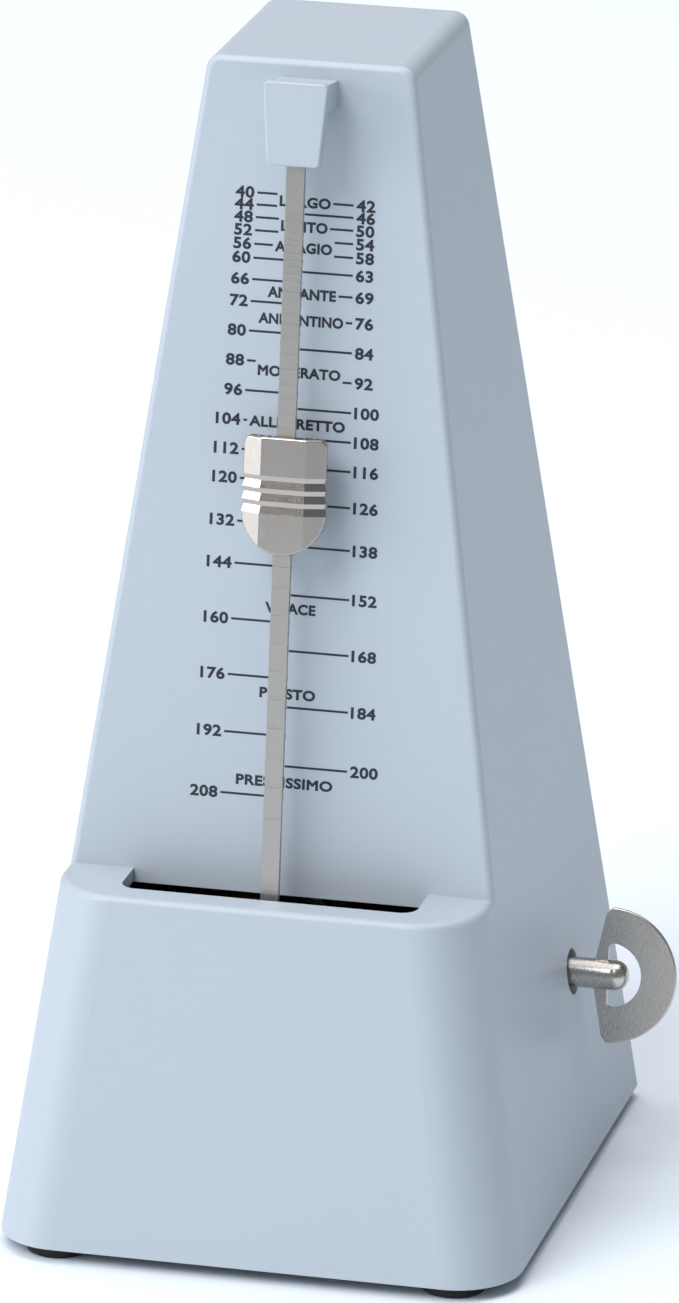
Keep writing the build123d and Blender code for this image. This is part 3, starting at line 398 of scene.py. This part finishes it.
class METRONOME_OT_pendulum(bpy.types.Operator):
    """Give the pendulum rod and its fittings their metals"""
    bl_idname = "metronome.pendulum"
    bl_label = "Pendulum finish"

    def execute(self, context):
        wear(["pendulum_rod"], rolled_steel("rolled_steel_strip", colours().steel))
        wear(["counterweight"], machined_metal("cast_zinc", linear("#7C7D80"), 0.5))
        return {"FINISHED"}


class METRONOME_OT_key(bpy.types.Operator):
    """Give the winding key its satin nickel"""
    bl_idname = "metronome.key"
    bl_label = "Winding key finish"

    def execute(self, context):
        finish = plated_nickel("satin_nickel_key", colours().key, 0.27, (1, 1, 6))
        wear(["key_blade", "key_stem"], finish)
        return {"FINISHED"}


class METRONOME_OT_movement(bpy.types.Operator):
    """Give the spring movement inside the case its metals"""
    bl_idname = "metronome.movement"
    bl_label = "Movement finish"

    def execute(self, context):
        slots = {}
        for part in frame["record"]["subparts"]:
            slots.setdefault(part["material_slot"], []).append(part["node"])
        wear(slots["frame_steel"], machined_metal("zinc_plated_sheet", linear("#B9BABC"), 0.35))
        wear(slots["screw_steel"], machined_metal("zinc_plated_screws", linear("#A9AAAC"), 0.3))
        wear(slots["brass"], machined_metal("machined_brass", linear("#D0AC62"), 0.3))
        wear(slots["arbor_steel"], machined_metal("turned_steel", linear("#9D9EA0"), 0.25))
        wear(slots["spring_steel"], machined_metal("blued_spring_steel", linear("#4A5468"), 0.3))
        return {"FINISHED"}


# ---- Sliding weight ---------------------------------------------------------------------
class METRONOME_OT_weight(bpy.types.Operator):
    """Finish the sliding weight"""
    bl_idname = "metronome.weight"
    bl_label = "Sliding weight"

    def execute(self, context):
        finish = plated_nickel("satin_nickel_weight", colours().nickel, 0.2, (1, 1, 12))
        wear(["tempo_weight", "weight_cover"], finish)
        return {"FINISHED"}


# ---- Studio -----------------------------------------------------------------------------
FLOOR_REACH = 5.0               # wide enough that no edge of the floor shows from above
FLOOR_THICKNESS = 0.02
SKY_COLOUR = (0.92, 0.96, 1.0, 1)
SKY_STRENGTH = 0.24
# name, place, length of a side in metres, power in watts
SOFTBOXES = (("front_softbox", (-1.5, -2.7, 3.5), 2.4, 128.0),
             ("overhead_softbox", (-0.2, 0.5, 3.6), 3.4, 104.0),
             ("left_card", (-2.3, -1.4, 0.7), 1.3, 26.0))
CAMERA_AIM = Vector((-4.0, 0.0, 102.6)) * MM
CAMERA_DISTANCE = 1705.0 * MM
CAMERA_CLIP_END = 20.0
CAMERA_AZIMUTH = 14.24          # degrees, as are the next two
CAMERA_ELEVATION = 18.82
CAMERA_ROLL = 0.196
CAMERA_LENS = 258.4             # focal length in mm


class METRONOME_OT_stage(bpy.types.Operator):
    """Set the pale floor, the soft lights and the camera"""
    bl_idname = "metronome.stage"
    bl_label = "Studio"

    def execute(self, context):
        self.floor()
        self.world(context.scene)
        for softbox in SOFTBOXES:
            self.softbox(*softbox)
        self.camera(context.scene)
        return {"FINISHED"}

    def floor(self):
        builder = bmesh.new()
        add_box(builder, (-FLOOR_REACH, -FLOOR_REACH, -FLOOR_THICKNESS), (FLOOR_REACH, FLOOR_REACH, 0.0))
        mesh = bpy.data.meshes.new("studio_floor")
        builder.to_mesh(mesh)
        builder.free()
        floor = bpy.data.objects.new("studio_floor", mesh)
        bpy.context.scene.collection.objects.link(floor)
        mesh.materials.append(painted_board("matt_painted_board", colours().floor))

    def world(self, scene):
        scene.world = bpy.data.worlds.new("studio_world")
        scene.world.use_nodes = True
        sky = scene.world.node_tree.nodes["Background"]
        sky.inputs["Color"].default_value = SKY_COLOUR
        sky.inputs["Strength"].default_value = SKY_STRENGTH
        scene.view_settings.view_transform = "Standard"

    def softbox(self, name, place, size, power):
        light = bpy.data.lights.new(name, "AREA")
        light.shape = "SQUARE"
        light.size = size
        light.energy = power
        lamp = bpy.data.objects.new(name, light)
        lamp.location = place
        lamp.rotation_euler = (Vector(place) - CAMERA_AIM).to_track_quat("Z", "Y").to_euler()
        bpy.context.scene.collection.objects.link(lamp)

    def camera(self, scene):
        lens = bpy.data.cameras.new("studio_camera")
        lens.lens = CAMERA_LENS
        lens.clip_end = CAMERA_CLIP_END
        camera = bpy.data.objects.new("studio_camera", lens)
        azimuth, elevation = math.radians(CAMERA_AZIMUTH), math.radians(CAMERA_ELEVATION)
        away = Vector((math.sin(azimuth) * math.cos(elevation),
                       -math.cos(azimuth) * math.cos(elevation), math.sin(elevation)))
        roll = Matrix.Rotation(math.radians(CAMERA_ROLL), 4, "Z")
        turn = away.to_track_quat("Z", "Y").to_matrix().to_4x4()
        camera.matrix_world = Matrix.Translation(CAMERA_AIM + away * CAMERA_DISTANCE) @ turn @ roll
        scene.collection.objects.link(camera)
        scene.camera = camera


class METRONOME_PT_panel(bpy.types.Panel):
    """Lists the metronome's pieces, colours and sizes"""
    bl_idname = "METRONOME_PT_panel"
    bl_label = "Metronome"
    bl_space_type = "VIEW_3D"
    bl_region_type = "UI"
    bl_category = "Metronome"

    def draw(self, context):
        for operator in OPERATORS:
            self.layout.operator(operator.bl_idname)
        for group in (colours(), sizes()):
            for name in group.__annotations__:
                self.layout.prop(group, name)


OPERATORS = (METRONOME_OT_case, METRONOME_OT_scale, METRONOME_OT_pendulum, METRONOME_OT_weight,
             METRONOME_OT_key, METRONOME_OT_movement, METRONOME_OT_stage)
CLASSES = (MetronomeColours, MetronomeSizes, *OPERATORS, METRONOME_PT_panel)


def register():
    for cls in CLASSES:
        bpy.utils.register_class(cls)
    bpy.types.Scene.metronome_colours = PointerProperty(type=MetronomeColours)
    bpy.types.Scene.metronome_sizes = PointerProperty(type=MetronomeSizes)


def unregister():
    del bpy.types.Scene.metronome_colours
    del bpy.types.Scene.metronome_sizes
    for cls in reversed(CLASSES):
        bpy.utils.unregister_class(cls)


def main():
    register()
    bpy.ops.metronome.movement()
    bpy.ops.metronome.case()
    bpy.ops.metronome.scale()
    bpy.ops.metronome.pendulum()
    bpy.ops.metronome.weight()
    bpy.ops.metronome.key()
    bpy.ops.metronome.stage()


if __name__ == "__main__":
    main()
